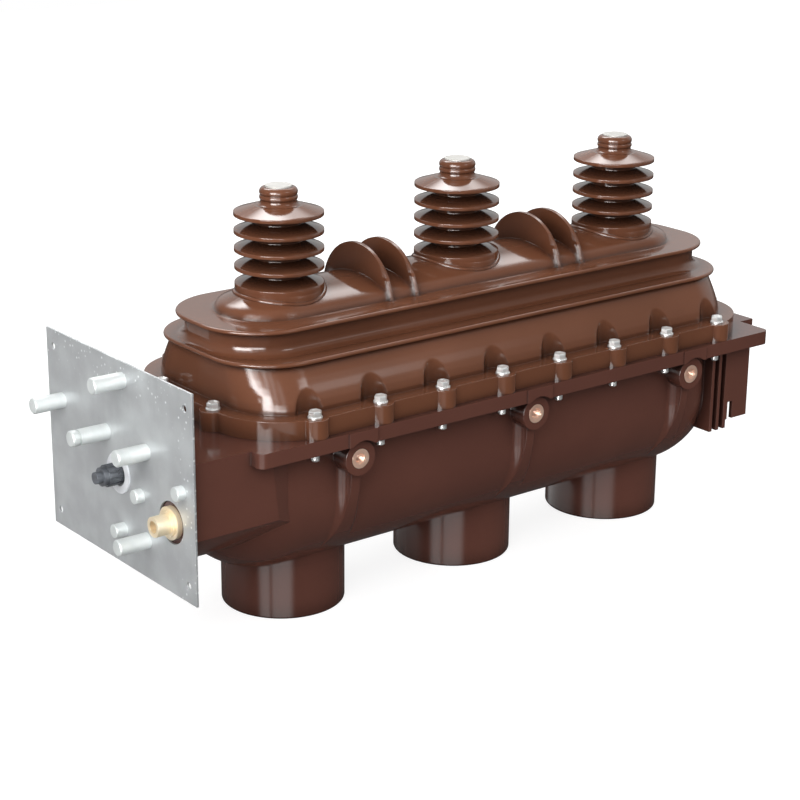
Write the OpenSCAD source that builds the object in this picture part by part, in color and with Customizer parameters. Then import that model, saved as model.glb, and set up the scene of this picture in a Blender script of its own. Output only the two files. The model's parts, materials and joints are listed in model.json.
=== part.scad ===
// Gas insulated load break switch: a three-phase, epoxy-cast indoor switch.
// X runs along the phases, -X is the drive end, -Y is the front, Z is up.
// The origin lies on the middle phase axis, in the plane of the shroud mouths.

/* [Phases] */
// Distance between neighbouring phase axes
phase_pitch = 210; // [190:1:240]

/* [Lower shrouds] */
// Height of a shroud below the trough
shroud_h = 54; // [46:1:62]
// Outer diameter of a shroud
shroud_d = 119; // [112:1:126]
// Wall of a shroud
shroud_wall = 9; // [5:0.5:12]
// Rounding of a shroud's outer mouth edge
shroud_lip_r = 2; // [1:0.5:3]

/* [Lower housing] */
// Height of the joint face above the shroud mouths
joint_z = 204; // [198:1:212]
// Width of the trough across the switch
trough_w = 212; // [206:1:218]
// Radius of the trough's round belly and of its ends
belly_r = 86; // [78:1:94]
// Reach of the trough's straight part past the outer phase axis at the far end
far_reach = 15; // [5:1:20]
// Reach of the trough's straight part past the outer phase axis at the drive end
drive_reach = 45; // [35:1:55]
// Thickness of the lower flange
lower_flange_t = 14; // [10:1:18]
// Width of the lower flange across the switch
lower_flange_w = 258; // [252:1:270]
// Reach of the lower flange past the outer phase axis
lower_flange_reach = 110.5; // [100:0.5:116]
// Corner radius of the lower flange
lower_flange_corner_r = 8; // [4:1:14]
// Width of the tab on the far end of the lower flange
end_tab_w = 176; // [140:1:190]
// Reach of the far end tab past the flange
end_tab_reach = 19; // [10:1:28]

/* [Drive neck] */
// Reach of the drive neck past the outer phase axis
neck_reach = 173.5; // [150:0.5:195]
// Width of the drive neck at its top
neck_w = 230; // [222:1:234]
// Width of the drive neck at its lower edges
neck_low_w = 220; // [214:1:226]
// Distance from the outer phase axis at which the neck's sides turn in to the trough
neck_turn_reach = 90; // [80:1:100]
// Width to which the neck's sides have turned in where the trough's end begins
neck_turn_w = 190; // [180:1:200]
// Height at which the neck's side turns into its belly
neck_edge_z = 131; // [122:1:140]
// Lowest height of the neck's belly
neck_belly_z = 80; // [70:1:90]

/* [Side bosses] */
// Height of the side boss axis
boss_z = 176; // [174:0.5:178]
// Diameter of a side boss
boss_d = 33; // [30:0.5:36]
// How far a side boss face stands back from the flange front
boss_setback = 4; // [2:0.5:8]
// Width of the tongue rib under a boss
tongue_w = 10.5; // [8:0.5:14]
// Height at which a tongue rib runs out on the belly
tongue_tip_z = 78; // [74:1:84]
// Radius of a tongue rib's bowed crest
tongue_r = 110; // [102:1:118]
// How far the top of the crest stands back from the boss face
tongue_setback = 7; // [5:0.5:9]
// Radius of the fillet beside a tongue rib
tongue_fillet_r = 11; // [8:0.5:14]
// Depth at which that fillet dips under the wall
tongue_sink = 0.4; // [0.2:0.1:0.8]
// Depth at which a tongue rib is rooted in the wall
tongue_root = 1; // [0.9:0.1:2]
// Angle around the belly at which a tongue rib starts before its tip
tongue_lead = 8; // [6:0.5:12]
// Gap of the arch that the flange leaves over a boss
boss_arch_gap = 2; // [1:0.5:4]
// Depth of that arch, measured from the flange front
boss_arch_depth = 8; // [4:0.5:12]
// Width of the raised pad that the arch is cut in
boss_pad_w = 32; // [28:1:40]
// How far that pad stands proud of the flange
boss_pad_t = 1.5; // [1:0.5:3]

/* [Threaded inserts] */
// Outer diameter of a side insert
insert_d = 18.5; // [16:0.5:22]
// Depth of a side insert
insert_depth = 24; // [18:1:28]
// Core diameter of the threaded holes in inserts and terminals
thread_core_d = 10.2; // [8:0.1:11]
// Depth of the threaded holes
thread_depth = 18; // [12:1:20]
// Radial gap between an insert and the casting
insert_clearance = 0.05; // [0.02:0.01:0.1]

/* [Far end legs] */
// Thin ribs on each side
leg_count = 3; // [2:1:3]
// Thickness of the thin ribs and of the slotted panel
leg_t = 4; // [3:0.5:5]
// Distance of the first thin rib from the outer phase axis
leg_first_x = 48; // [40:1:56]
// Spacing of the thin ribs
leg_pitch = 10; // [8:0.5:12]
// How far the legs stand back from the flange front
leg_setback = 17; // [11:0.5:21]
// Depth of the thin ribs towards the middle
leg_depth = 22; // [14:1:30]
// Lowest height of the thin ribs
leg_bottom_z = 100; // [90:1:115]
// Width of the slotted panel along the switch
panel_w = 29; // [22:1:34]
// Lowest height of the slotted panel
panel_bottom_z = 109; // [100:1:125]
// Width of the panel's slot
panel_slot_w = 7; // [4:0.5:10]
// Height of the panel's slot
panel_slot_h = 19; // [10:1:30]

/* [Upper housing] */
// Thickness of the upper flange
upper_flange_t = 17.5; // [12:0.5:22]
// Width of the upper flange between its bolt bosses
upper_flange_w = 244; // [236:1:250]
// Reach of the upper flange past the outer phase axis
upper_flange_reach = 105.5; // [100:0.5:110]
// Corner radius of the upper flange
upper_flange_corner_r = 71; // [60:1:80]
// Ledge of the flange around the dome
ledge_w = 16; // [12:0.5:20]
// Height of the small step at the foot of the dome
ledge_h = 2; // [1:0.5:4]
// Height of the dome from the flange to the middle creepage plate
dome_h = 40.5; // [36:0.5:46]
// Width of the dome under the middle creepage plate
dome_top_w = 171; // [160:1:180]
// Roundness of the dome's side, from a straight slope at 1 upwards
dome_fullness = 1.3; // [1:0.1:2]
// Layers that shape the rounded dome
dome_layers = 7; // [4:1:9]

/* [Creepage plates] */
// Thickness of a creepage plate's rim
plate_rim_t = 4; // [3:0.5:6]
// Width of the middle creepage plate
middle_plate_w = 188; // [180:1:196]
// Reach of the middle plate's corner centres past the outer phase axis
middle_plate_reach = 34; // [28:1:40]
// Width of the top creepage plate
top_plate_w = 150; // [140:1:160]
// Reach of the top plate's corner centres past the outer phase axis
top_plate_reach = 32; // [26:1:38]
// Corner radius of both creepage plates
plate_corner_r = 62; // [54:1:68]
// Clear height of the groove between the two plates
groove_h = 21; // [16:1:26]
// How far the groove's wall stands back from the top plate's rim
groove_inset = 8; // [5:0.5:12]
// Fillet radius at the foot of the groove's wall
groove_fillet_r = 9; // [4:0.5:12]

/* [Ridge and fins] */
// Width of the ridge that carries the bushings
ridge_w = 98; // [92:1:106]
// Height of the ridge above the top plate
ridge_h = 18; // [15:0.5:22]
// Radius at which the ridge's sides round over to its crown
ridge_side_r = 10; // [8:0.5:12]
// Reach of the ridge's end centres past the outer phase axis
ridge_reach = 14; // [8:1:20]
// Radius of a barrier fin
fin_r = 54; // [50:0.5:60]
// Depth of a fin's centre below the top plate
fin_drop = 8; // [4:0.5:14]
// Thickness of a barrier fin
fin_t = 4; // [3:0.5:6]
// Spacing of the two fins between neighbouring phases
fin_pitch = 30; // [20:1:40]

/* [Bushings] */
// Height of a bushing's collar above the ridge
collar_h = 1.5; // [1:0.5:5]
// Diameter of the collar and the sheds
shed_d = 83; // [78:0.5:88]
// Sheds above the collar's own rim
shed_count = 4; // [2:1:6]
// Spacing of the sheds
shed_pitch = 16.5; // [14:0.5:20]
// Rim thickness of a shed
shed_rim_t = 3.2; // [2:0.2:4]
// Height by which a shed droops from the core to its rim
shed_droop = 6; // [3:0.5:8]
// Diameter of a bushing's core
core_d = 45; // [40:0.5:52]
// Diameter of the cap's two rings
cap_d = 35.4; // [35:0.2:38]
// Height of the cap's top above the rim of the top shed
cap_h = 22.6; // [21:0.2:25]
// Radius of the cap's round shoulder, which is its upper ring
cap_shoulder_r = 4.5; // [4:0.1:4.8]
// Radius of the cap's lower ring
cap_ring_r = 3.5; // [3:0.1:4]
// Depth of the groove between the two rings
cap_groove = 0.9; // [0.8:0.1:1.6]
// Radius of the fillet at the cap's foot
cap_fillet_r = 4; // [2:0.5:5]

/* [Terminals] */
// Diameter of a top terminal
top_terminal_d = 25; // [22:0.5:26]
// Length of a top terminal
top_terminal_l = 34; // [30:1:40]
// How far a top terminal stands proud of its cap
top_terminal_proud = 1.4; // [0.5:0.1:3]
// Diameter of a bottom terminal
bottom_terminal_d = 44; // [36:1:50]
// Length of a bottom terminal
bottom_terminal_l = 40; // [30:1:50]

/* [Flange bolts] */
// Bolts along each long side
side_bolts = 8; // [6:1:10]
// Reach of the last side bolt past the outer phase axis
side_bolt_reach = 43.4; // [40:0.2:46]
// Distance of the side bolts from the upper flange's edge
side_bolt_inset = 6; // [2:0.5:9]
// Distance between the two bolts at each end
end_bolt_pitch = 86; // [70:1:100]
// Distance of the end bolts from the upper flange's edge
end_bolt_inset = 3; // [1:0.5:8]
// Diameter of the round boss at each bolt
bolt_boss_d = 25; // [22:0.5:27]
// Diameter of the arched pocket in the dome behind a side bolt
bolt_pocket_d = 36; // [30:0.5:38]

/* [Drive plate] */
// Width of the drive plate
plate_w = 250; // [236:1:270]
// Height of the drive plate
plate_h = 193; // [180:1:210]
// Height of the drive plate's lower edge
plate_bottom_z = 78; // [70:1:86]
// Thickness of the drive plate
plate_t = 2; // [1.5:0.5:4]
// Diameter of the corner holes
plate_hole_d = 6.6; // [5:0.1:9]
// Distance of the corner holes from the side edges
plate_hole_side = 12; // [9:0.5:16]
// Distance of the corner holes from the top and bottom edges
plate_hole_end = 16; // [9:0.5:20]

/* [Posts on the drive plate] */
// Diameter of a post
post_d = 15; // [12:0.5:17]
// Length of a plain post
post_l = 31; // [24:1:40]
// Chamfer on the end of a post
post_chamfer = 1; // [0.5:0.1:2]
// Place of the back post across and up the plate
back_post = [100, 206]; // [-110:1:260]
// Place of the top post across and up the plate
top_post = [-11, 254]; // [-110:1:260]
// Place of the grooved post across and up the plate
grooved_post = [20, 198]; // [-110:1:260]
// Place of the front post across and up the plate
front_post = [-48, 198]; // [-110:1:260]
// Place of the low post across and up the plate
low_post = [-45, 114]; // [-110:1:260]
// Extra length of the grooved post
grooved_post_extra = 6; // [3:0.5:10]
// Width of the ring groove in the grooved post
post_groove_w = 2; // [1:0.5:3]
// Depth of the ring groove in the grooved post
post_groove_depth = 1.5; // [0.5:0.5:2.5]

/* [Studs on the drive plate] */
// Diameter of a short stud
stud_d = 13; // [10:0.5:15]
// Length of a short stud
stud_l = 8; // [6:0.5:12]
// Extra length of the low stud
low_stud_extra = 3; // [1:0.5:6]
// Chamfer on the end of a stud
stud_chamfer = 0.6; // [0.2:0.1:1]
// Place of the inner stud across and up the plate
inner_stud = [-37, 154]; // [-110:1:260]
// Place of the edge stud across and up the plate
edge_stud = [-106, 178]; // [-120:1:260]
// Place of the low stud across and up the plate
low_stud = [-5, 112]; // [-110:1:260]

/* [Drive shaft] */
// Height of the drive shaft's axis
shaft_z = 164.5; // [156:0.5:170]
// Diameter of the shaft's splined shoulder
shaft_d = 20.5; // [18:0.5:23]
// Length of the shoulder in front of the bush
shaft_shoulder_l = 13; // [10:0.5:20]
// Diameter of the collar in front of the shoulder
shaft_collar_d = 17.5; // [14:0.5:19]
// Length of that collar
shaft_collar_l = 4.5; // [3:0.5:8]
// Diameter of the shaft's tip
shaft_tip_d = 11; // [9:0.5:13]
// Length of the shaft's tip
shaft_tip_l = 6; // [4:0.5:12]
// Depth of the shaft inside the neck
shaft_inside_l = 40; // [30:1:60]
// Spline grooves around the shoulder
spline_count = 12; // [8:1:18]
// Depth of a spline groove
spline_depth = 0.8; // [0.5:0.1:1.5]
// Radial running gap between the shaft and its bush
running_clearance = 0.05; // [0.02:0.01:0.1]
// Radial gap around the shaft inside the neck
shaft_bore_gap = 1; // [0.5:0.1:2]

/* [Shaft bush] */
// Outer diameter of the bush's rim
bush_rim_d = 38; // [36:0.5:44]
// Thickness of the bush's rim
bush_rim_t = 1.5; // [1:0.5:4]
// Outer diameter of the bush's sleeve
bush_sleeve_d = 31; // [28:0.5:34]
// Length of the bush's sleeve, from the plate's face
bush_sleeve_l = 16; // [10:1:24]
// Diameter of the countersink around the shaft
bush_mouth_d = 24; // [23:0.5:26]
// Depth of that countersink
bush_mouth_depth = 4; // [2:0.5:6]
// Radial gap between the sleeve and its seat
sleeve_clearance = 0.1; // [0.05:0.05:0.3]

/* [Gas valve] */
// Place of the gas valve across and up the plate
valve_at = [-87, 144.5]; // [-95:0.5:200]
// Diameter of the window in the drive plate
valve_window_d = 39; // [36:0.5:44]
// Diameter of the valve's flange
valve_flange_d = 30; // [27:0.5:33]
// Thickness of the valve's flange
valve_flange_t = 5; // [4:0.5:8]
// Diameter of the valve's shoulder
valve_shoulder_d = 24; // [20:0.5:26]
// Length of the valve's shoulder in front of its flange
valve_shoulder_l = 2.5; // [1:0.5:4]
// Diameter of the valve's tube
valve_tube_d = 18.5; // [16:0.5:20]
// Length of the valve from its seat
valve_l = 20.5; // [18:0.5:30]
// Diameter of the valve's bore
valve_bore_d = 11; // [9:0.5:13]
// Depth of the valve's bore
valve_bore_depth = 14; // [10:0.5:17]

/* [Hidden] */
$fn = 96;
overlap = 0.5;

phase_x = [-phase_pitch, 0, phase_pitch];
front_back = [-1, 1];

shroud_r = shroud_d / 2;
shroud_bore_r = shroud_r - shroud_wall;

belly_axis_z = shroud_h + belly_r;
belly_y = trough_w / 2 - belly_r;
far_end_x = phase_pitch + far_reach;
drive_end_x = -phase_pitch - drive_reach;
lower_flange_z = joint_z - lower_flange_t;
lower_flange_x = phase_pitch + lower_flange_reach;
neck_end_x = -phase_pitch - neck_reach;
neck_belly_rise = neck_edge_z - neck_belly_z;
neck_belly_r = (pow(neck_low_w / 2, 2) + pow(neck_belly_rise, 2)) / (2 * neck_belly_rise);
neck_turn_x = -phase_pitch - neck_turn_reach;

boss_r = boss_d / 2;
insert_r = insert_d / 2;
thread_core_r = thread_core_d / 2;
boss_arch_r = boss_r + boss_arch_gap;
boss_face_y = lower_flange_w / 2 - boss_setback;
tongue_top = [boss_face_y - tongue_setback, boss_z - boss_r];
tongue_drop = belly_axis_z - tongue_tip_z;
tongue_tip = [belly_y + sqrt(pow(belly_r, 2) - pow(tongue_drop, 2)), tongue_tip_z];
tongue_l = norm(tongue_top - tongue_tip);
tongue_bow = sqrt(pow(tongue_r, 2) - pow(tongue_l / 2, 2));
tongue_out = [tongue_top.y - tongue_tip.y, tongue_tip.x - tongue_top.x] / tongue_l;
tongue_centre = (tongue_top + tongue_tip) / 2 - tongue_bow * tongue_out;
tongue_start = acos(tongue_drop / belly_r) - tongue_lead;
leg_y = lower_flange_w / 2 - leg_setback;
panel_x = phase_pitch + leg_first_x + (leg_count - 1) * leg_pitch + leg_t;

upper_flange_x = phase_pitch + upper_flange_reach;
upper_flange_z = joint_z + upper_flange_t;
middle_plate_z = upper_flange_z + dome_h;
groove_floor_z = middle_plate_z + plate_rim_t;
top_plate_bottom_z = groove_floor_z + groove_h;
top_z = top_plate_bottom_z + plate_rim_t;
top_corner_y = top_plate_w / 2 - plate_corner_r;
middle_corner_y = middle_plate_w / 2 - plate_corner_r;
groove_wall_r = top_plate_w / 2 - groove_inset;
rim_r = plate_rim_t / 2;

ridge_half_w = ridge_w / 2;
ridge_side_y = ridge_half_w - ridge_side_r;
ridge_crown_r = (pow(ridge_side_y, 2) + pow(ridge_h, 2) - pow(ridge_side_r, 2)) / (2 * (ridge_h - ridge_side_r));
ridge_crown_z = top_z + ridge_h - ridge_crown_r;

shed_r = shed_d / 2;
core_r = core_d / 2;
bushing_z = top_z + ridge_h + collar_h;
shed_z = [for (i = [0:shed_count]) bushing_z + shed_rim_t + i * shed_pitch];
cap_r = cap_d / 2;
cap_foot_z = shed_z[shed_count] + shed_droop;
cap_top_z = shed_z[shed_count] + cap_h;
cap_core_r = cap_r - cap_groove;
cap_shoulder_z = cap_top_z - cap_shoulder_r;
cap_ring_z = cap_shoulder_z - chord_half(cap_shoulder_r) - chord_half(cap_ring_r);
terminal_top_z = cap_top_z + top_terminal_proud;
terminal_bottom_z = terminal_top_z - top_terminal_l;

side_bolt_end_x = phase_pitch + side_bolt_reach;
side_bolt_pitch = 2 * side_bolt_end_x / (side_bolts - 1);
side_bolt_y = upper_flange_w / 2 - side_bolt_inset;
end_bolt_x = upper_flange_x - end_bolt_inset;
side_bolt_places = [
    for (i = [0:side_bolts - 1], s = front_back) [i * side_bolt_pitch - side_bolt_end_x, s * side_bolt_y]
];
end_bolt_places = [for (e = front_back, s = front_back) [e * end_bolt_x, s * end_bolt_pitch / 2]];
bolt_boss_r = bolt_boss_d / 2;

plate_face_x = neck_end_x - plate_t;
shaft_r = shaft_d / 2;
shaft_front_x = plate_face_x - bush_rim_t;
bush_back_x = plate_face_x + bush_sleeve_l;
shaft_back_x = neck_end_x + shaft_inside_l;
sleeve_r = bush_sleeve_d / 2;

epoxy_upper = [0.44, 0.27, 0.19];
epoxy_lower = [0.35, 0.22, 0.19];
zinc = [0.72, 0.74, 0.75];
brass = [0.82, 0.68, 0.40];
silver = [0.88, 0.88, 0.87];

// Half the height of a ring of radius r where it leaves the cap's core
function chord_half(r) = sqrt(pow(r, 2) - pow(r - cap_groove, 2));

// A bar along X, from x0 to x1, with the child profile drawn in Y and Z
module along_x(x0, x1) {
    translate([x0, 0, 0]) rotate([90, 0, 90]) linear_extrude(x1 - x0) children();
}

// A disc or rod along X, from x0 to x1
module rod_x(r, x0, x1) {
    translate([x0, 0, 0]) rotate([0, 90, 0]) cylinder(r = r, h = x1 - x0);
}

// A rod along Y that starts at y0 and has the length l
module rod_y(r, y0, l) {
    translate([0, y0, 0]) rotate([-90, 0, 0]) cylinder(r = r, h = l);
}

// A rectangle, centred, with round corners
module rounded_rectangle(l, w, r) {
    square([l - 2 * r, w], center = true);
    square([l, w - 2 * r], center = true);
    for (sx = front_back, sy = front_back)
        translate([sx * (l / 2 - r), sy * (w / 2 - r)]) circle(r);
}

// The part of a half profile that lies outside the corner centres
module outer_profile(corner_y) {
    intersection() {
        translate([-corner_y, 0]) children();
        square(phase_pitch * 2);
    }
}

// Sweeps a half profile, drawn from the middle outwards and up, around a long oval
// with its corner centres at end_x and corner_y
module oval_sweep(end_x, corner_y) {
    along_x(-end_x, end_x) {
        children();
        mirror([1, 0]) children();
    }
    for (s = front_back) {
        translate([s * end_x, s * -corner_y, 0]) rotate([0, 0, s * 90 - 180]) rotate_extrude(angle = 90)
            outer_profile(corner_y) children();
        translate([s * end_x, s * corner_y, 0]) rotate([0, 0, s * 90 - 90]) rotate_extrude(angle = 90)
            outer_profile(corner_y) children();
        if (corner_y > 0)
            translate([s * end_x, s * corner_y, 0]) rotate([90, 0, s * 90 - 90]) linear_extrude(2 * corner_y)
                outer_profile(corner_y) children();
    }
}

// One creepage plate's half profile with a half-round rim
module plate_profile(half_w, z) {
    translate([0, z]) square([half_w - rim_r, plate_rim_t]);
    intersection() {
        translate([half_w - rim_r, z + rim_r]) circle(rim_r);
        translate([0, z]) square([half_w, plate_rim_t]);
    }
}

// Half profile of the groove's wall, with its foot swept out in a fillet
module groove_profile() {
    translate([0, groove_floor_z - rim_r]) square([groove_wall_r, groove_h + plate_rim_t]);
    difference() {
        translate([0, groove_floor_z - rim_r])
            square([groove_wall_r + groove_fillet_r, groove_fillet_r + rim_r]);
        translate([groove_wall_r + groove_fillet_r, groove_floor_z + groove_fillet_r]) circle(groove_fillet_r);
    }
}

// Half profile of the arched ridge: a wide crown that rounds over into upright sides
module ridge_profile() {
    crown = [0, ridge_crown_z];
    side = [ridge_side_y, top_z];
    out = (side - crown) / norm(side - crown);
    meet = side + (ridge_side_r - overlap) * out;
    past = side + ridge_w * out;
    foot_z = top_z - rim_r;
    intersection() {
        translate(crown) circle(ridge_crown_r);
        polygon([[0, foot_z], [side.x + ridge_side_r / 2, foot_z], meet, past, [0, past.y]]);
    }
    intersection() {
        translate(side) circle(ridge_side_r);
        polygon([[side.x, foot_z], [ridge_w, foot_z], [ridge_w, past.y], past, side]);
    }
}

// One layer of the dome, t from 0 at its foot to 1 under the middle plate
module dome_layer(t) {
    bulge = 1 - pow(t, dome_fullness);
    foot_w = upper_flange_w - 2 * ledge_w;
    foot_l = 2 * (upper_flange_x - ledge_w);
    foot_r = upper_flange_corner_r - ledge_w;
    top_r = plate_corner_r - (middle_plate_w - dome_top_w) / 2;
    top_l = 2 * (phase_pitch + middle_plate_reach + top_r);
    w = dome_top_w + (foot_w - dome_top_w) * bulge;
    l = top_l + (foot_l - top_l) * bulge;
    r = top_r + (foot_r - top_r) * bulge;
    translate([0, 0, upper_flange_z + ledge_h + (dome_h - ledge_h) * t])
        linear_extrude(rim_r) rounded_rectangle(l, w, r);
}

// Dome with a small step at its foot and an arched pocket behind each side bolt
module dome() {
    difference() {
        union() {
            hull() for (i = [0:dome_layers - 1]) dome_layer(i / (dome_layers - 1));
            translate([0, 0, upper_flange_z - overlap]) linear_extrude(ledge_h + overlap)
                rounded_rectangle(
                    2 * (upper_flange_x - ledge_w),
                    upper_flange_w - 2 * ledge_w,
                    upper_flange_corner_r - ledge_w
                );
        }
        for (p = side_bolt_places)
            translate([p.x, p.y, upper_flange_z]) cylinder(d = bolt_pocket_d, h = dome_h);
    }
}

module bolt_flange() {
    translate([0, 0, joint_z]) linear_extrude(upper_flange_t) {
        rounded_rectangle(2 * upper_flange_x, upper_flange_w, upper_flange_corner_r);
        for (p = concat(side_bolt_places, end_bolt_places)) translate(p) circle(bolt_boss_r);
    }
}

module barrier_fins() {
    for (gap = front_back, side = front_back)
        translate([gap * phase_pitch / 2 + side * fin_pitch / 2 - fin_t / 2, 0, 0])
            along_x(0, fin_t) intersection() {
                translate([0, top_z - fin_drop]) circle(fin_r);
                translate([-fin_r, top_z - rim_r]) square([2 * fin_r, 2 * fin_r]);
            }
}

module upper_housing() {
    color(epoxy_upper) {
        bolt_flange();
        dome();
        oval_sweep(phase_pitch + middle_plate_reach, middle_corner_y)
            plate_profile(middle_plate_w / 2, middle_plate_z);
        oval_sweep(phase_pitch + top_plate_reach, top_corner_y) {
            groove_profile();
            plate_profile(top_plate_w / 2, top_plate_bottom_z);
        }
        oval_sweep(phase_pitch + ridge_reach, 0) ridge_profile();
        barrier_fins();
        for (x = phase_x) translate([x, 0, top_z - rim_r]) cylinder(r = shed_r, h = bushing_z - top_z + rim_r);
    }
}

// One drooping shed's half profile, with its rim at the height z
module shed_profile(z) {
    polygon([
        [0, z - shed_rim_t], [shed_r, z - shed_rim_t], [shed_r, z],
        [core_r, z + shed_droop], [0, z + shed_droop]
    ]);
}

// The cap's half profile: a core with a foot fillet, a lower ring and a round shoulder
module cap_profile() {
    translate([0, cap_foot_z - overlap]) square([cap_core_r, cap_shoulder_z - cap_foot_z + overlap]);
    translate([0, cap_foot_z]) square([cap_r - cap_shoulder_r, cap_top_z - cap_foot_z]);
    translate([cap_r - cap_shoulder_r, cap_shoulder_z]) circle(cap_shoulder_r);
    translate([cap_r - cap_ring_r, cap_ring_z]) circle(cap_ring_r);
    difference() {
        translate([0, cap_foot_z - overlap]) square([cap_core_r + cap_fillet_r, cap_fillet_r + overlap]);
        translate([cap_core_r + cap_fillet_r, cap_foot_z + cap_fillet_r]) circle(cap_fillet_r);
    }
}

module bushing(x) {
    color(epoxy_upper) translate([x, 0, 0]) difference() {
        rotate_extrude() {
            translate([0, bushing_z]) square([core_r, shed_z[shed_count] - bushing_z]);
            for (z = shed_z) shed_profile(z);
            cap_profile();
        }
        translate([0, 0, terminal_bottom_z])
            cylinder(r = top_terminal_d / 2 + insert_clearance, h = top_terminal_l);
    }
}

module top_terminal(x) {
    color(silver) translate([x, 0, terminal_bottom_z]) cylinder(d = top_terminal_d, h = top_terminal_l);
}

// Half profile of the trough, drawn outwards from the axis of its round corners
module trough_side() {
    translate([0, belly_axis_z]) square([belly_r, lower_flange_z + overlap - belly_axis_z]);
    intersection() {
        translate([0, belly_axis_z]) circle(belly_r);
        translate([0, shroud_h]) square([belly_r, belly_r]);
    }
}

// Rounded end of the trough, drawn for the far end
module trough_end() {
    translate([0, belly_y, 0]) rotate([90, 0, 0]) linear_extrude(2 * belly_y) trough_side();
    for (s = front_back) mirror([0, s > 0 ? 0 : 1, 0]) translate([0, belly_y, 0])
        rotate_extrude(angle = 90) trough_side();
}

// Trough with a flat floor, a round belly on both sides and rounded ends
module trough() {
    along_x(drive_end_x, far_end_x) {
        translate([-belly_y, shroud_h]) square([2 * belly_y, lower_flange_z + overlap - shroud_h]);
        translate([belly_y, 0]) trough_side();
        mirror([1, 0]) translate([belly_y, 0]) trough_side();
    }
    translate([far_end_x, 0, 0]) trough_end();
    translate([drive_end_x, 0, 0]) mirror([1, 0, 0]) trough_end();
}

// Section of the drive neck: leaning sides above a shallow round belly
module neck_profile() {
    polygon([
        [-neck_w / 2, joint_z], [neck_w / 2, joint_z],
        [neck_low_w / 2, neck_edge_z], [-neck_low_w / 2, neck_edge_z]
    ]);
    intersection() {
        translate([0, neck_belly_z + neck_belly_r]) circle(neck_belly_r);
        translate([-neck_low_w / 2, neck_belly_z]) square([neck_low_w, neck_belly_rise]);
    }
}

// Drive neck, whose sides turn in to meet the trough
module drive_neck() {
    half_w = neck_w / 2;
    turn_half_w = neck_turn_w / 2;
    intersection() {
        along_x(neck_end_x, drive_end_x) neck_profile();
        linear_extrude(joint_z) polygon([
            [neck_end_x, -half_w], [neck_turn_x, -half_w], [drive_end_x, -turn_half_w],
            [drive_end_x, turn_half_w], [neck_turn_x, half_w], [neck_end_x, half_w]
        ]);
    }
}

module lower_flange() {
    translate([0, 0, lower_flange_z]) linear_extrude(lower_flange_t) {
        rounded_rectangle(2 * lower_flange_x, lower_flange_w, lower_flange_corner_r);
        translate([0, -end_tab_w / 2]) square([lower_flange_x + end_tab_reach, end_tab_w]);
        for (x = phase_x)
            translate([x, 0]) square([boss_pad_w, lower_flange_w + 2 * boss_pad_t], center = true);
    }
}

// Cross section of a tongue rib, drawn outwards from the wall, with a fillet on both sides
module tongue_profile() {
    half_w = tongue_w / 2;
    rise = boss_face_y - trough_w / 2;
    translate([-half_w, -tongue_root]) square([tongue_w, rise + tongue_root]);
    for (s = front_back) mirror([s > 0 ? 0 : 1, 0]) difference() {
        translate([half_w, -tongue_root])
            square([tongue_fillet_r, tongue_fillet_r - tongue_sink + tongue_root]);
        translate([half_w + tongue_fillet_r, tongue_fillet_r - tongue_sink]) circle(tongue_fillet_r);
    }
}

// Tongue rib on the wall and the belly with a bowed crest, drawn for the back side
module tongue() {
    intersection() {
        union() {
            translate([0, trough_w / 2, belly_axis_z])
                linear_extrude(lower_flange_z + overlap - belly_axis_z) tongue_profile();
            translate([0, belly_y, belly_axis_z]) rotate([0, 90, 0]) rotate([0, 0, tongue_start])
                rotate_extrude(angle = 90 - tongue_start) translate([belly_r, 0]) rotate(-90) tongue_profile();
        }
        along_x(-boss_d, boss_d) translate(tongue_centre) circle(tongue_r);
    }
}

// A boss with its tongue rib, drawn for the back side
module side_boss() {
    translate([0, 0, boss_z]) rod_y(boss_r, 0, boss_face_y);
    tongue();
}

// Thin ribs and a slotted panel under the far end of the flange, drawn for the back side
module far_end_legs() {
    rib_top = lower_flange_z + overlap;
    for (i = [0:leg_count - 1])
        translate([phase_pitch + leg_first_x + i * leg_pitch - leg_t / 2, leg_y - leg_depth, leg_bottom_z])
            cube([leg_t, leg_depth, rib_top - leg_bottom_z]);
    translate([panel_x - leg_t, leg_y - leg_t, 0]) difference() {
        translate([0, 0, panel_bottom_z]) cube([panel_w + leg_t, leg_t, rib_top - panel_bottom_z]);
        translate([leg_t, -overlap, panel_bottom_z - overlap])
            cube([panel_slot_w, leg_t + 2 * overlap, panel_slot_h + overlap]);
    }
}

module lower_housing() {
    color(epoxy_lower) difference() {
        union() {
            trough();
            drive_neck();
            lower_flange();
            for (x = phase_x) {
                translate([x, 0, shroud_h]) cylinder(r = shroud_r, h = belly_r / 2);
                translate([x, 0, 0]) side_boss();
                translate([x, 0, 0]) mirror([0, 1, 0]) side_boss();
            }
            far_end_legs();
            mirror([0, 1, 0]) far_end_legs();
        }
        for (x = phase_x, s = front_back) translate([x, 0, 0]) mirror([0, s > 0 ? 0 : 1, 0]) {
            arch_y = lower_flange_w / 2 - boss_arch_depth;
            intersection() {
                translate([0, 0, boss_z]) difference() {
                    rod_y(boss_arch_r, arch_y, 2 * boss_arch_depth);
                    rod_y(boss_r, 0, boss_face_y);
                }
                translate([-boss_arch_r, arch_y, boss_z])
                    cube([2 * boss_arch_r, 2 * boss_arch_depth, boss_arch_r]);
            }
            translate([0, 0, boss_z])
                rod_y(insert_r + insert_clearance, boss_face_y - insert_depth, insert_depth + lower_flange_w);
        }
        for (x = phase_x) translate([x, 0, shroud_h - overlap])
            cylinder(r = bottom_terminal_d / 2 + insert_clearance, h = bottom_terminal_l + overlap);
        translate([0, 0, shaft_z]) {
            rod_x(sleeve_r + sleeve_clearance, neck_end_x - overlap, bush_back_x);
            rod_x(shaft_r + shaft_bore_gap, neck_end_x - overlap, shaft_back_x + shaft_bore_gap);
        }
    }
}

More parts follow.
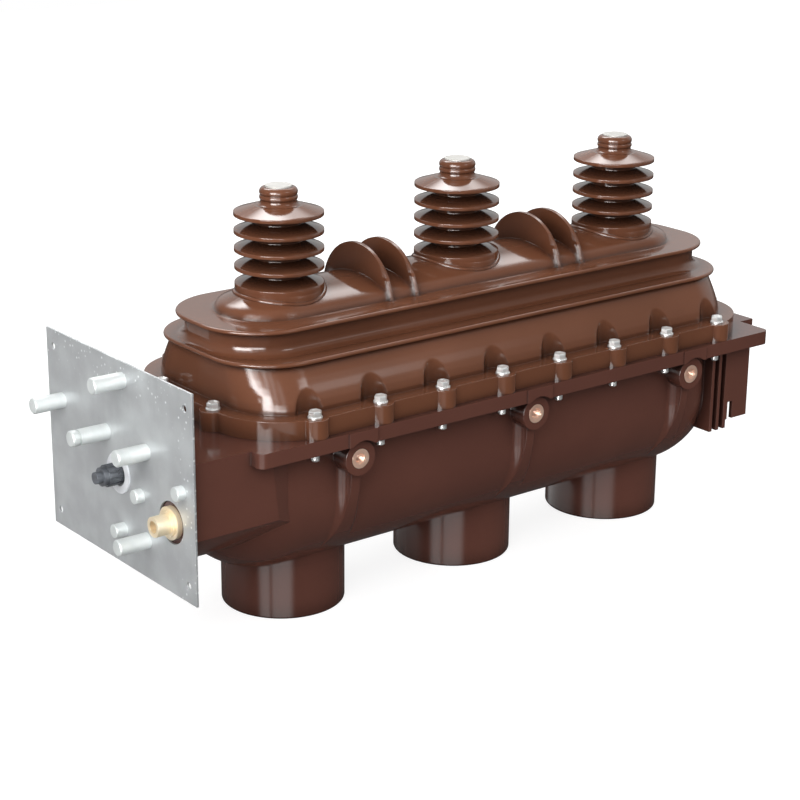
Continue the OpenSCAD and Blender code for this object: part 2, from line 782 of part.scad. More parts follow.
module shroud(x) {
    color(epoxy_lower) translate([x, 0, 0]) rotate_extrude() {
        translate([shroud_bore_r, shroud_lip_r]) square([shroud_wall, shroud_h - shroud_lip_r]);
        translate([shroud_bore_r, 0]) square([shroud_wall - shroud_lip_r, shroud_h]);
        translate([shroud_r - shroud_lip_r, shroud_lip_r]) circle(shroud_lip_r);
    }
}

module bottom_terminal(x) {
    color(silver) translate([x, 0, shroud_h]) difference() {
        cylinder(d = bottom_terminal_d, h = bottom_terminal_l);
        translate([0, 0, -overlap]) cylinder(r = thread_core_r, h = thread_depth + overlap);
    }
}

// A brass insert in a side boss: side -1 is the front, 1 the back
module side_insert(x, side) {
    color(brass) translate([x, 0, boss_z]) mirror([0, side > 0 ? 0 : 1, 0]) difference() {
        rod_y(insert_r, boss_face_y - insert_depth, insert_depth);
        rod_y(thread_core_r, boss_face_y - thread_depth, thread_depth + overlap);
    }
}

module drive_plate() {
    color(zinc) difference() {
        translate([plate_face_x, -plate_w / 2, plate_bottom_z]) cube([plate_t, plate_w, plate_h]);
        for (s = front_back, z = [plate_bottom_z + plate_hole_end, plate_bottom_z + plate_h - plate_hole_end])
            translate([0, s * (plate_w / 2 - plate_hole_side), z])
                rod_x(plate_hole_d / 2, plate_face_x - overlap, neck_end_x + overlap);
        translate([0, 0, shaft_z]) rod_x(sleeve_r + sleeve_clearance, plate_face_x - overlap, neck_end_x + overlap);
        translate([0, valve_at[0], valve_at[1]])
            rod_x(valve_window_d / 2, plate_face_x - overlap, neck_end_x + overlap);
    }
}

// A round bar that stands on the plate's face, with a chamfered end
module plate_bar(at, r, l, chamfer) {
    translate([plate_face_x, at[0], at[1]]) rotate([0, -90, 0]) rotate_extrude()
        polygon([[0, 0], [r, 0], [r, l - chamfer], [r - chamfer, l], [0, l]]);
}

module post(at) {
    color(zinc) plate_bar(at, post_d / 2, post_l, post_chamfer);
}

module post_with_groove() {
    l = post_l + grooved_post_extra;
    groove_x = plate_face_x - l + grooved_post_extra;
    color(zinc) difference() {
        plate_bar(grooved_post, post_d / 2, l, post_chamfer);
        translate([0, grooved_post[0], grooved_post[1]]) difference() {
            rod_x(post_d, groove_x, groove_x + post_groove_w);
            rod_x(post_d / 2 - post_groove_depth, groove_x - overlap, groove_x + post_groove_w + overlap);
        }
    }
}

module plate_stud(at, l) {
    color(zinc) plate_bar(at, stud_d / 2, l, stud_chamfer);
}

module drive_shaft() {
    collar_x = shaft_front_x - shaft_shoulder_l;
    tip_x = collar_x - shaft_collar_l;
    color([0.16, 0.17, 0.18]) translate([0, 0, shaft_z]) {
        rod_x(shaft_r, shaft_front_x, shaft_back_x);
        difference() {
            rod_x(shaft_r, collar_x, shaft_front_x + overlap);
            for (i = [0:spline_count - 1]) rotate([i * 360 / spline_count, 0, 0])
                translate([collar_x - overlap, -spline_depth, shaft_r - spline_depth])
                    cube([shaft_shoulder_l + overlap, 2 * spline_depth, 2 * spline_depth]);
        }
        rod_x(shaft_collar_d / 2, tip_x, collar_x + overlap);
        rod_x(shaft_tip_d / 2, tip_x - shaft_tip_l, tip_x + overlap);
    }
}

module shaft_bush() {
    color([0.86, 0.87, 0.87]) translate([0, 0, shaft_z]) difference() {
        union() {
            rod_x(bush_rim_d / 2, plate_face_x - bush_rim_t, plate_face_x);
            rod_x(sleeve_r, plate_face_x - overlap, bush_back_x);
        }
        rod_x(shaft_r + running_clearance, plate_face_x - bush_rim_t - overlap, bush_back_x + overlap);
        rod_x(bush_mouth_d / 2, plate_face_x - bush_rim_t - overlap, plate_face_x - bush_rim_t + bush_mouth_depth);
    }
}

// Brass filling valve, seated on the neck's end behind the plate's window
module gas_valve() {
    color(brass) translate([0, valve_at[0], valve_at[1]]) difference() {
        union() {
            rod_x(valve_flange_d / 2, neck_end_x - valve_flange_t, neck_end_x);
            rod_x(valve_shoulder_d / 2, neck_end_x - valve_flange_t - valve_shoulder_l, neck_end_x);
            rod_x(valve_tube_d / 2, neck_end_x - valve_l, neck_end_x);
        }
        rod_x(valve_bore_d / 2, neck_end_x - valve_l - overlap, neck_end_x - valve_l + valve_bore_depth);
    }
}

upper_housing();
bushing(phase_x[0]);  // left_bushing
bushing(phase_x[1]);  // middle_bushing
bushing(phase_x[2]);  // right_bushing
top_terminal(phase_x[0]);  // left_top_terminal
top_terminal(phase_x[1]);  // middle_top_terminal
top_terminal(phase_x[2]);  // right_top_terminal
lower_housing();
shroud(phase_x[0]);  // left_shroud
shroud(phase_x[1]);  // middle_shroud
shroud(phase_x[2]);  // right_shroud
bottom_terminal(phase_x[0]);  // left_bottom_terminal
bottom_terminal(phase_x[1]);  // middle_bottom_terminal
bottom_terminal(phase_x[2]);  // right_bottom_terminal
side_insert(phase_x[0], -1);  // left_front_insert
side_insert(phase_x[1], -1);  // middle_front_insert
side_insert(phase_x[2], -1);  // right_front_insert
side_insert(phase_x[0], 1);  // left_back_insert
side_insert(phase_x[1], 1);  // middle_back_insert
side_insert(phase_x[2], 1);  // right_back_insert
drive_plate();
post(back_post);
post(top_post);
post_with_groove();  // grooved_post
post(front_post);
post(low_post);
plate_stud(inner_stud, stud_l);
plate_stud(edge_stud, stud_l);
plate_stud(low_stud, stud_l + low_stud_extra);
drive_shaft();
shaft_bush();
gas_valve();
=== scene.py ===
"""Looks of a gas insulated load break switch: epoxy, plated metal, flange bolts, threads, a white studio."""

import json
import math

import bmesh
import bpy
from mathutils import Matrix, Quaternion, Vector


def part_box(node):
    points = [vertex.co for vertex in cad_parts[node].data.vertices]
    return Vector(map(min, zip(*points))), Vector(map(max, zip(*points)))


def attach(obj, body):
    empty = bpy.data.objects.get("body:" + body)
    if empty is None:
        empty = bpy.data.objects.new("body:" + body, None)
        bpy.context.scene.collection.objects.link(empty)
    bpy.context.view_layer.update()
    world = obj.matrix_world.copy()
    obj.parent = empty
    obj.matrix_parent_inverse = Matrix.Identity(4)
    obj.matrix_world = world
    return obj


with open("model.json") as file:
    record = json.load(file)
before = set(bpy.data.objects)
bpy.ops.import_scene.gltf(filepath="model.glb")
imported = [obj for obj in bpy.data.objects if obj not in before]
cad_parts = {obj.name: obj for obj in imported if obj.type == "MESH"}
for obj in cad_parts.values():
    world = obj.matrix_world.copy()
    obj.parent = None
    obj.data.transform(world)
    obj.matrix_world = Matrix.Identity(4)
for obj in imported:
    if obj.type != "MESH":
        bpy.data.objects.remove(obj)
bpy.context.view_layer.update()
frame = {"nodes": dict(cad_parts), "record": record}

MM = 0.001
BODY = "housing"
BOTH_WAYS = (-1, 1)
UP = Vector((0.0, 0.0, 1.0))

# Heights and places that follow the castings, in millimetres
PHASES = (-210.0, 0.0, 210.0)
SHROUD_TOP = 54.0
FLANGE_BOTTOM = 190.0
FLANGE_TOP = 221.5
DOME_TOP = 262.0
COLLAR_TOP = 310.5
COLLAR_RADIUS = 41.5
RIDGE_CROWN_RADIUS = 109.06
RIDGE_CROWN_TOP = 309.0
RIDGE_END = 224.0
RIDGE_RADIUS = 49.0
RIDGE_FOOT = 291.0
SIDE_BOLT_COUNT = 8
SIDE_BOLT_END = 253.4
SIDE_BOLT_Y = 116.0
END_BOLT_X = 312.5
END_BOLT_Y = 43.0
BOSS_FACE = 125.0
BOSS_HEIGHT = 176.0


class Wire:
    """One output of a node tree. Arithmetic on it adds Math nodes."""

    def __init__(self, graph, socket):
        self.graph = graph
        self.socket = socket

    def __add__(self, other):
        return self.graph.math("ADD", self, other)

    def __sub__(self, other):
        return self.graph.math("SUBTRACT", self, other)

    def __rsub__(self, other):
        return self.graph.math("SUBTRACT", other, self)

    def __mul__(self, other):
        return self.graph.math("MULTIPLY", self, other)

    def __abs__(self):
        return self.graph.math("ABSOLUTE", self)

    def between(self, low, high, to_low=0.0, to_high=1.0):
        """A smooth step from low to high, given as to_low to to_high."""
        return self.graph.add(
            "ShaderNodeMapRange",
            {"interpolation_type": "SMOOTHSTEP"},
            {"Value": self, "From Min": low, "From Max": high, "To Min": to_low, "To Max": to_high},
        )

    def near(self, value, inner, outer):
        """1 within inner of the value, fading to 0 at outer."""
        return abs(self - value).between(inner, outer, 1.0, 0.0)


class Graph:
    """A node tree that starts empty. add() makes one node and returns one of its outputs."""

    def __init__(self, tree):
        self.tree = tree
        tree.nodes.clear()

    def add(self, kind, settings=None, inputs=None, out=0):
        node = self.tree.nodes.new(kind)
        for key, value in (settings or {}).items():
            setattr(node, key, value)
        for key, value in (inputs or {}).items():
            self.feed(node.inputs[key], value)
        return Wire(self, node.outputs[out]) if node.outputs else None

    def feed(self, socket, value):
        if isinstance(value, Wire):
            self.tree.links.new(value.socket, socket)
        else:
            socket.default_value = value

    def math(self, operation, first, second=0.0):
        return self.add("ShaderNodeMath", {"operation": operation}, {0: first, 1: second})

    def outputs(self, wire, *names):
        """More outputs of the node that a wire comes from."""
        return [Wire(self, wire.socket.node.outputs[name]) for name in names]

    def parts(self, vector):
        """The three numbers of a vector."""
        return self.outputs(self.add("ShaderNodeSeparateXYZ", {}, {"Vector": vector}), "X", "Y", "Z")

    def ray_kinds(self):
        """Rays to the camera, in mirrors and through glass."""
        kinds = "Is Camera Ray", "Is Glossy Ray", "Is Transmission Ray"
        return self.outputs(self.add("ShaderNodeLightPath"), *kinds)

    def mix(self, factor, first, second):
        """A colour between two colours."""
        return self.add("ShaderNodeMix", {"data_type": "RGBA"}, {0: factor, 6: first, 7: second}, out=2)

    def mix_ways(self, factor, first, second):
        """A direction between two directions."""
        return self.add("ShaderNodeMix", {"data_type": "VECTOR"}, {0: factor, 4: first, 5: second}, out=1)

    def noise(self, place, scale, detail):
        return self.add("ShaderNodeTexNoise", {}, {"Vector": place, "Scale": scale, "Detail": detail})

    def stretched(self, place, scale):
        """Object coordinates scaled differently along each axis."""
        return self.add("ShaderNodeMapping", {}, {"Vector": place, "Scale": scale})

    def rounded(self, radius, samples=6):
        """The normal with edges rounded off by that radius."""
        return self.add("ShaderNodeBevel", {"samples": samples}, {"Radius": radius})

    def recess(self, reach):
        """0 on open faces, rising towards 1 where faces within that reach stand around."""
        return 1 - self.add("ShaderNodeAmbientOcclusion", {"samples": 6}, {"Distance": reach}, out="AO")

    def bump(self, height, strength, distance, normal):
        return self.add(
            "ShaderNodeBump",
            {},
            {"Height": height, "Strength": strength, "Distance": distance, "Normal": normal},
        )


def finish(name, constants, build):
    """A material with one principled shader. Its inputs are the constants and what build() returns."""
    material = bpy.data.materials.new(name)
    material.use_nodes = True
    graph = Graph(material.node_tree)
    place = graph.add("ShaderNodeTexCoord", out="Object")
    inputs = dict(constants)
    inputs.update(build(graph, place))
    shader = graph.add("ShaderNodeBsdfPrincipled", {}, inputs)
    graph.add("ShaderNodeOutputMaterial", {}, {"Surface": shader})
    return material


def rgb(red, green, blue):
    """A shader colour from 0 to 255 screen values."""
    values = [v / 255 for v in (red, green, blue)]
    linear = [v / 12.92 if v <= 0.04045 else ((v + 0.055) / 1.055) ** 2.4 for v in values]
    return (*linear, 1.0)


# How far edges are rounded, and how far around a recess the painted shade darkens the resin
METAL_EDGE = 0.6 * MM
EDGE = 1.4 * MM
DOME_EDGE = 4.5 * MM
FOOT_EDGE = 9.0 * MM
PAINTED_SHADE_REACH = 30.0 * MM


def cast_epoxy(name, resin, warm, dark, painted_shade, gloss, joint):
    """Cast epoxy: cloudy resin, filler speckle, a mould seam on the middle plane, painted shade in the
    recesses, soft edges.

    The edges stay plain where two pieces meet flush: at the joint inside one casting, and where the upper
    casting sits on the lower one.
    """
    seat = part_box("upper_housing")[0][2]

    def build(graph, place):
        x, y, z = graph.parts(place)
        clouds = graph.noise(place, 7.0, 3.0)
        speckle = graph.noise(place, 900.0, 1.0)
        skin = graph.noise(place, 90.0, 2.0)
        flow = graph.noise(graph.stretched(place, (26.0, 26.0, 5.0)), 1.0, 2.0)
        seam = y.near(0.0, 0.2 * MM, 0.6 * MM)
        colour = graph.mix(clouds.between(0.35, 0.7), resin, warm)
        colour = graph.mix(speckle.between(0.62, 0.75) * 0.2, colour, dark)
        colour = graph.mix(seam * 0.45, colour, warm)
        # Painted shade: ambient occlusion darkens the resin towards a dark brown in recesses, under rims and
        # between parts
        colour = graph.mix(graph.recess(PAINTED_SHADE_REACH).between(0.1, 0.65) * 0.8, colour, painted_shade)
        dome = z.near((FLANGE_TOP + DOME_TOP) / 2 * MM, 17.0 * MM, 19.0 * MM)
        past = graph.math("MAXIMUM", abs(x) - RIDGE_END * MM)
        across = graph.math("SQRT", past * past + y * y)
        foot = across.near(RIDGE_RADIUS * MM, 8.0 * MM, 14.0 * MM)
        foot = foot * z.between((RIDGE_FOOT - 3.0) * MM, (RIDGE_FOOT - 1.0) * MM)
        soft = graph.rounded(dome * (DOME_EDGE - EDGE) + foot * (FOOT_EDGE - EDGE) + EDGE)
        plain = graph.add("ShaderNodeNewGeometry", out="Normal")
        flush = z.near(joint * MM, EDGE, 1.3 * EDGE) + z.near(seat, EDGE, 1.3 * EDGE)
        normal = graph.mix_ways(flush, soft, plain)
        height = skin * 0.2 + flow * 0.25 + seam * 0.6
        return {
            "Base Color": colour,
            "Roughness": clouds.between(0.3, 0.75, gloss, gloss + 0.05) + speckle * 0.03,
            "Normal": graph.bump(height, 0.1, 0.6 * MM, normal),
        }

    return finish(name, {"IOR": 1.52}, build)


def plated_metal(name, bright, dull, shine, grain, metal):
    """Zinc, silver or brass: cloudy crystals, fine turned or drawn lines and rounded edges."""

    def build(graph, place):
        crystals = graph.noise(place, 60.0, 3.0)
        lines = graph.noise(graph.stretched(place, grain), 1.0, 2.0)
        colour = graph.mix(crystals.between(0.3, 0.75) * 0.6 + lines * 0.4, dull, bright)
        return {
            "Base Color": colour,
            "Roughness": lines.between(0.2, 0.8, shine, shine + 0.08),
            "Normal": graph.bump(lines, 0.03, 0.2 * MM, graph.rounded(METAL_EDGE, 4)),
        }

    return finish(name, {"Metallic": metal}, build)


FLECK_MARGIN = 40.0


def zinc_sheet(name):
    """Galvanised sheet: soft grey spangle, faint rolling lines, pale flecks near the top and front edges."""
    low, high = (Vector(corner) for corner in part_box("drive_plate"))

    def build(graph, place):
        _, y, z = graph.parts(place)
        spangle = graph.noise(place, 34.0, 4.0)
        rolling = graph.noise(graph.stretched(place, (20.0, 160.0, 10.0)), 1.0, 2.0)
        cells = graph.add(
            "ShaderNodeTexVoronoi",
            {"distance": "EUCLIDEAN"},
            {"Vector": place, "Scale": 190.0, "Randomness": 0.6},
        )
        near_top = z.between(high.z - FLECK_MARGIN * MM, high.z - 0.3 * FLECK_MARGIN * MM)
        near_front = y.between(low.y + 0.3 * FLECK_MARGIN * MM, low.y + FLECK_MARGIN * MM, 1.0, 0.0)
        flecks = cells.between(0.16, 0.34, 1.0, 0.0) * (near_top + near_front).between(0.0, 1.0)
        pale = spangle.between(0.3, 0.7) * 0.8 + rolling * 0.2
        colour = graph.mix(pale, rgb(184, 186, 188), rgb(204, 207, 208))
        colour = graph.mix(flecks, colour, rgb(246, 249, 249))
        return {
            "Base Color": colour,
            "Roughness": spangle.between(0.3, 0.7, 0.42, 0.5) - flecks * 0.1,
            "Normal": graph.bump(rolling * 0.2 + flecks, 0.05, 0.3 * MM, graph.rounded(METAL_EDGE, 4)),
        }

    return finish(name, {"Metallic": 0.6}, build)


def moulded_nylon(name):
    def build(graph, place):
        clouds = graph.noise(place, 80.0, 3.0)
        return {
            "Base Color": graph.mix(clouds.between(0.3, 0.7), rgb(228, 230, 233), rgb(208, 210, 214)),
            "Roughness": clouds.between(0.2, 0.8, 0.3, 0.45),
            "Normal": graph.rounded(METAL_EDGE, 4),
        }

    return finish(name, {}, build)


def black_oxide(name):
    def build(graph, place):
        wear = graph.noise(place, 70.0, 3.0)
        return {
            "Base Color": graph.mix(wear.between(0.4, 0.75), rgb(78, 81, 86), rgb(112, 116, 122)),
            "Roughness": wear.between(0.3, 0.7, 0.26, 0.4),
            "Normal": graph.rounded(METAL_EDGE, 4),
        }

    return finish(name, {"Metallic": 0.3}, build)


TURNED_UP = (40.0, 40.0, 500.0)
TURNED_ACROSS = (40.0, 500.0, 40.0)
TURNED_ALONG = (260.0, 50.0, 50.0)

FINISHES = {
    "epoxy_upper": cast_epoxy(
        "glossy_brown_epoxy",
        resin=rgb(104, 65, 46),
        warm=rgb(113, 71, 51),
        dark=rgb(82, 46, 32),
        # colour of the painted shade in recesses
        painted_shade=rgb(42, 23, 16),
        gloss=0.07,
        joint=COLLAR_TOP,
    ),
    "epoxy_lower": cast_epoxy(
        "dark_brown_epoxy",
        resin=rgb(92, 57, 48),
        warm=rgb(98, 61, 51),
        dark=rgb(66, 38, 32),
        # colour of the painted shade in recesses
        painted_shade=rgb(38, 22, 19),
        gloss=0.11,
        joint=SHROUD_TOP,
    ),
    "silver": plated_metal(
        "silvered_contact", rgb(208, 206, 202), rgb(190, 188, 183), 0.45, TURNED_UP, 0.15
    ),
    "insert_brass": plated_metal(
        "turned_insert_brass", rgb(248, 212, 190), rgb(230, 188, 164), 0.34, TURNED_ACROSS, 0.6
    ),
    "zinc_plate": zinc_sheet("zinc_plated_sheet"),
    "zinc_post": plated_metal("pale_zinc", rgb(226, 230, 229), rgb(206, 211, 210), 0.4, TURNED_ALONG, 0.35),
    "black_steel": black_oxide("blackened_shaft_steel"),
    "white_nylon": moulded_nylon("white_nylon_bush"),
    "valve_brass": plated_metal(
        "pale_valve_brass", rgb(250, 238, 214), rgb(234, 214, 176), 0.32, TURNED_ALONG, 0.5
    ),
}
BOLT_ZINC = plated_metal("bright_bolt_zinc", rgb(250, 251, 250), rgb(236, 238, 237), 0.26, TURNED_UP, 0.65)

for part in frame["record"]["subparts"]:
    mesh = frame["nodes"][part["node"]].data
    mesh.materials.clear()
    mesh.materials.append(FINISHES[part["material_slot"]])


def add_piece(name, bm, slot, sharp_angle, skin=None):
    """Turns a bmesh in millimetres into a piece of the housing, in its slot's finish or its own skin."""
    bmesh.ops.remove_doubles(bm, verts=bm.verts, dist=0.001)
    bmesh.ops.recalc_face_normals(bm, faces=bm.faces)
    bmesh.ops.scale(bm, vec=(MM, MM, MM), verts=bm.verts)
    mesh = bpy.data.meshes.new(name)
    bm.to_mesh(mesh)
    bm.free()
    mesh.shade_smooth()
    mesh.set_sharp_from_angle(angle=math.radians(sharp_angle))
    mesh.materials.append(skin or FINISHES[slot])
    piece = bpy.data.objects.new(name, mesh)
    bpy.context.scene.collection.objects.link(piece)
    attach(piece, BODY)


def turned(bm, profile, base, along=UP, steps=24):
    """Turns a profile of (radius, distance along) points about an axis through the base."""
    base, along = Vector(base), Vector(along)
    side = along.orthogonal().normalized()
    verts = [bm.verts.new(base + side * radius + along * distance) for radius, distance in profile]
    edges = [bm.edges.new(pair) for pair in zip(verts, verts[1:])]
    bmesh.ops.spin(
        bm, geom=verts + edges, cent=base, axis=along, angle=math.tau, steps=steps, use_merge=True
    )


def bolt_places():
    """The flange bolts: a row along each side and a pair at each end."""
    pitch = 2 * SIDE_BOLT_END / (SIDE_BOLT_COUNT - 1)
    for side in BOTH_WAYS:
        for i in range(SIDE_BOLT_COUNT):
            yield i * pitch - SIDE_BOLT_END, side * SIDE_BOLT_Y
    for end in BOTH_WAYS:
        for side in BOTH_WAYS:
            yield end * END_BOLT_X, side * END_BOLT_Y


HEAD_FLATS = 10.6
HEAD_HEIGHT = 5.2
HEAD_CHAMFER = 1.0
DISH_DEPTH = 0.5
WASHER_RADIUS = 6.7
WASHER_THICKNESS = 1.4
WASHER_CHAMFER = 0.4
BOLT_RADIUS = 4.0
BOLT_END = 180.5
TIP_RADIUS = 2.6
TIP_LENGTH = 1.2
THREAD_PITCH = 1.25
THREAD_DEPTH = 0.6


def hexagon_head():
    """Profile of a hexagon head, turned in six steps: upright flats, a chamfered top with a shallow dish."""
    radius = HEAD_FLATS / math.sqrt(3)
    rim = 0.86 * radius
    return [
        (0.0, 0.0),
        (radius, 0.0),
        (radius, HEAD_HEIGHT - HEAD_CHAMFER),
        (rim, HEAD_HEIGHT),
        (0.75 * rim, HEAD_HEIGHT),
        (0.65 * rim, HEAD_HEIGHT - DISH_DEPTH),
        (0.0, HEAD_HEIGHT - DISH_DEPTH),
    ]


def thread(start, length, outside, inwards):
    """Profile of a thread: (radius, distance along) points that rise and fall once a pitch."""
    turns = int(length / THREAD_PITCH)
    inside = outside - inwards
    for i in range(turns):
        yield outside, start + i * THREAD_PITCH
        yield inside, start + (i + 0.5) * THREAD_PITCH
    yield outside, start + turns * THREAD_PITCH


def flange_bolts():
    """Hexagon bolts with a washer on the upper flange, and their threaded ends under the lower one."""
    heads = bmesh.new()
    washers = bmesh.new()
    ends = bmesh.new()
    washer = [
        (BOLT_RADIUS, 0.0),
        (WASHER_RADIUS, 0.0),
        (WASHER_RADIUS, WASHER_THICKNESS - WASHER_CHAMFER),
        (WASHER_RADIUS - WASHER_CHAMFER, WASHER_THICKNESS),
        (BOLT_RADIUS, WASHER_THICKNESS),
    ]
    tip = [(0.0, 0.0), (TIP_RADIUS, 0.0)]
    shank = tip + list(thread(TIP_LENGTH, FLANGE_BOTTOM - BOLT_END, BOLT_RADIUS, THREAD_DEPTH))
    for x, y in bolt_places():
        turned(washers, washer, (x, y, FLANGE_TOP))
        turned(heads, hexagon_head(), (x, y, FLANGE_TOP + WASHER_THICKNESS), steps=6)
        turned(ends, shank, (x, y, BOLT_END), steps=16)
    add_piece("flange_bolt_heads", heads, "zinc_post", 20.0, BOLT_ZINC)
    add_piece("flange_washers", washers, "zinc_post", 30.0, BOLT_ZINC)
    add_piece("flange_bolt_ends", ends, "zinc_post", 50.0, BOLT_ZINC)


MOUTH_RADIUS = 6.4
MOUTH_PROUD = 0.05
MOUTH_DEPTH = 1.4
INSERT_THREAD_RADIUS = 5.0
INSERT_THREAD_START = 1.6
INSERT_THREAD_LENGTH = 15.0
INSERT_THREAD_DEPTH = 0.8


def insert_threads():
    """A countersunk mouth and a thread in each side insert's hole."""
    bm = bmesh.new()
    mouth = [(MOUTH_RADIUS, -MOUTH_PROUD), (INSERT_THREAD_RADIUS, MOUTH_DEPTH)]
    profile = mouth + list(
        thread(INSERT_THREAD_START, INSERT_THREAD_LENGTH, INSERT_THREAD_RADIUS, INSERT_THREAD_DEPTH)
    )
    for x in PHASES:
        for side in BOTH_WAYS:
            turned(bm, profile, (x, side * BOSS_FACE, BOSS_HEIGHT), (0, -side, 0))
    add_piece("insert_threads", bm, "insert_brass", 40.0)


BEAD_RADIUS = 2.2
BEAD_STEPS = 10


def ridge_height(x, y):
    """Height of the ridge's arched crown, which is turned about its ends."""
    across = math.hypot(max(abs(x) - RIDGE_END, 0.0), y)
    crown = RIDGE_CROWN_TOP - RIDGE_CROWN_RADIUS
    return crown + math.sqrt(RIDGE_CROWN_RADIUS**2 - across**2)


def collar_beads():
    """A rounded resin bead where each collar meets the ridge."""
    bm = bmesh.new()
    for centre in PHASES:
        ring = [
            (COLLAR_RADIUS + BEAD_RADIUS * math.cos(turn), BEAD_RADIUS * math.sin(turn))
            for turn in (i * math.tau / BEAD_STEPS for i in range(BEAD_STEPS + 1))
        ]
        turned(bm, ring, (centre, 0.0, 0.0), steps=72)
    for vert in bm.verts:
        centre = min(PHASES, key=lambda x: abs(vert.co.x - x))
        out = Vector((vert.co.x - centre, vert.co.y)).normalized() * COLLAR_RADIUS
        vert.co.z += ridge_height(centre + out.x, out.y)
    add_piece("collar_beads", bm, "epoxy_upper", 60.0)


flange_bolts()
insert_threads()
collar_beads()


# The camera, fitted to the photograph's frame of 800 by 800 pixels, in degrees and millimetres
FRAME_PIXELS = 800
CAMERA_AZIMUTH = -38.05
CAMERA_ELEVATION = 18.41
CAMERA_ROLL = 0.47
CAMERA_DISTANCE = 1958.1
CAMERA_TARGET = (-68.1, 0.0, 169.8)
CAMERA_FOCUS_PIXELS = 1988.5


def towards(azimuth, elevation):
    """The direction from the object to a point at that azimuth and elevation, in degrees."""
    a, e = math.radians(azimuth), math.radians(elevation)
    return Vector((math.sin(a) * math.cos(e), -math.cos(a) * math.cos(e), math.sin(e)))


def add_camera():
    data = bpy.data.cameras.new("photograph_view")
    data.lens = CAMERA_FOCUS_PIXELS / FRAME_PIXELS * data.sensor_width
    camera = bpy.data.objects.new("photograph_view", data)
    bpy.context.scene.collection.objects.link(camera)
    back = towards(CAMERA_AZIMUTH, CAMERA_ELEVATION)
    camera.location = (Vector(CAMERA_TARGET) + back * CAMERA_DISTANCE) * MM
    turn = (-back).to_track_quat("-Z", "Y") @ Quaternion((0, 0, 1), math.radians(CAMERA_ROLL))
    camera.rotation_euler = turn.to_euler()
    bpy.context.scene.camera = camera


# Lamps, in degrees, metres and multiples of white:
# azimuth, elevation, distance, width, height, radiance
LAMPS = {
    "back_light": (145.0, 46.0, 2.0, 1.7, 0.45, 8.0),
    "window_light": (-66.0, 33.0, 1.35, 1.0, 0.7, 4.6),
    "right_strip": (30.0, 43.0, 2.2, 1.2, 0.3, 3.0),
}
LIGHT_CENTRE = Vector((0.0, 0.0, 0.2))


def softbox(name, azimuth, elevation, distance, width, height, radiance):
    """A rectangular lamp that faces the object. Its mirror image is one of the room's panels."""
    data = bpy.data.lights.new(name, "AREA")
    data.shape = "RECTANGLE"
    data.size = width
    data.size_y = height
    data.energy = radiance * math.pi * width * height
    lamp = bpy.data.objects.new(name, data)
    bpy.context.scene.collection.objects.link(lamp)
    out = towards(azimuth, elevation)
    lamp.location = LIGHT_CENTRE + out * distance
    lamp.rotation_euler = (-out).to_track_quat("-Z", "Y").to_euler()
    lamp.visible_camera = False
    lamp.visible_glossy = False


# What the glossy resin mirrors, in degrees and as multiples of white:
# azimuth from and to, elevation from and to, soft edge, strength
CROWN_PANELS = (
    (112.0, 136.0, 37.0, 50.0, 8.0, 4.5),
    (140.0, 190.0, 40.0, 56.0, 8.0, 10.0),
)
SHOULDER_PANELS = (
    (14.0, 33.0, 28.0, 37.0, 2.5, 5.0),
    (36.0, 42.0, 25.0, 30.0, 4.0, 2.6),
)
WINDOW_PANES = (
    (-84.0, -73.0, -4.0, 46.0, 3.0, 3.0),
    (-82.0, -50.0, -5.0, 24.0, 5.0, 20.0),
    (-70.0, -62.0, 24.0, 46.0, 2.5, 4.5),
    (-56.0, -48.0, 10.0, 45.0, 2.5, 4.0),
    (-44.0, -37.0, 0.0, 40.0, 3.0, 2.5),
    (-48.0, -26.0, -3.0, 10.0, 5.0, 14.0),
    (-32.0, -24.0, 0.0, 38.0, 4.0, 1.5),
)
PANELS = CROWN_PANELS + SHOULDER_PANELS + WINDOW_PANES
TURN_START = 80.0

# Directions of the room's other parts, in degrees, and their strength
WALL, WALL_GLOW = 125.0, 0.55
TABLE, TABLE_GLOW = -48.0, 1.9
TABLE_SLOT, SLOT_SHADE = 42.0, 0.7
PLATE_TABLE, PLATE_TABLE_GLOW = -142.0, 1.4
FRONT, FRONT_GLOW = -40.0, 1.25


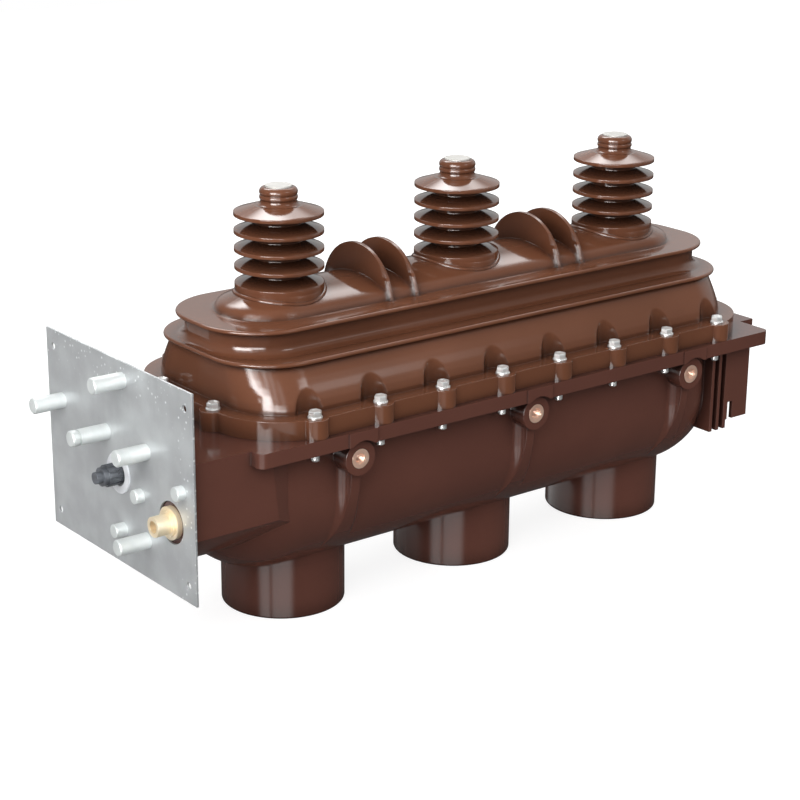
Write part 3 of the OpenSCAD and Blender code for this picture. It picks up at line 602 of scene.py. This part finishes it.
def white_room():
    """White panels for the mirror images, a wall behind, pale tables below, and a soft fill in front."""
    world = bpy.data.worlds.new("white_room")
    bpy.context.scene.world = world
    world.use_nodes = True
    graph = Graph(world.node_tree)
    east, north, up = graph.parts(graph.add("ShaderNodeTexCoord", out="Generated"))
    seen, mirrored, through = graph.ray_kinds()

    def facing(azimuth):
        way = towards(azimuth, 0.0)
        return east * way.x + north * way.y

    ahead, aside = facing(TURN_START), facing(TURN_START + 90.0)
    heading = graph.math("ARCTAN2", aside, ahead) * math.degrees(1.0) + TURN_START
    rise = graph.math("ARCSINE", up) * math.degrees(1.0)

    def span(wire, low, high, soft):
        return wire.between(low - soft, low + soft) * wire.between(high - soft, high + soft, 1.0, 0.0)

    wall = facing(WALL).between(0.25, 0.65) * up.between(-0.12, 0.08)
    room = up.between(-0.05, 0.35, 0.06, 0.25)
    table = facing(TABLE).between(0.74, 0.84) * up.between(-0.37, -0.29, TABLE_GLOW, 0.0)
    slot = facing(TABLE_SLOT).near(-0.14, 0.02, 0.07)
    plate_table = facing(PLATE_TABLE).between(0.6, 0.85) * span(up, -0.367, -0.285, 0.012)
    mirror = wall * WALL_GLOW + room + table * (1.0 - slot * SLOT_SHADE) + plate_table * PLATE_TABLE_GLOW
    for west_edge, east_edge, bottom, top, soft, strength in PANELS:
        panel = span(heading, west_edge, east_edge, soft) * span(rise, bottom, top, soft)
        mirror = mirror + panel * strength
    front = facing(FRONT).between(-0.5, 0.6) * span(up, 0.08, 0.66, 0.16)
    fill = up.between(-0.3, 0.5, 0.15, 0.38) + front * FRONT_GLOW
    strength = seen + through + mirrored * mirror + (1 - seen - through - mirrored) * fill
    background = graph.add("ShaderNodeBackground", {}, {"Color": (1, 1, 1, 1), "Strength": strength})
    graph.add("ShaderNodeOutputWorld", {}, {"Surface": background})


FLOOR_HALF = 4.0
FLOOR_GREY = (0.34, 0.34, 0.34, 1.0)


def white_floor():
    """A pale floor that keeps a light shadow near the object and runs into the white room."""
    bm = bmesh.new()
    bmesh.ops.create_grid(bm, x_segments=2, y_segments=2, size=FLOOR_HALF)
    mesh = bpy.data.meshes.new("floor")
    bm.to_mesh(mesh)
    bm.free()
    floor = bpy.data.objects.new("floor", mesh)
    bpy.context.scene.collection.objects.link(floor)
    material = bpy.data.materials.new("pale_floor")
    material.use_nodes = True
    graph = Graph(material.node_tree)
    seen, mirrored, through = graph.ray_kinds()
    place = graph.add("ShaderNodeTexCoord", out="Object")
    away = graph.add("ShaderNodeVectorMath", {"operation": "LENGTH"}, {0: place}, out="Value")
    glow = away.between(0.5, 1.3, 0.82, 1.0)
    white = graph.add("ShaderNodeEmission", {}, {"Color": (1, 1, 1, 1), "Strength": glow})
    matt = graph.add("ShaderNodeBsdfDiffuse", {}, {"Color": FLOOR_GREY})
    lit = graph.add("ShaderNodeAddShader", {}, {0: white, 1: matt})
    surface = graph.add("ShaderNodeMixShader", {}, {0: seen + mirrored + through, 1: matt, 2: lit})
    graph.add("ShaderNodeOutputMaterial", {}, {"Surface": surface})
    mesh.materials.append(material)
    floor.visible_glossy = False


add_camera()
for name, lamp in LAMPS.items():
    softbox(name, *lamp)
white_room()
white_floor()
bpy.context.scene.view_settings.view_transform = "Standard"
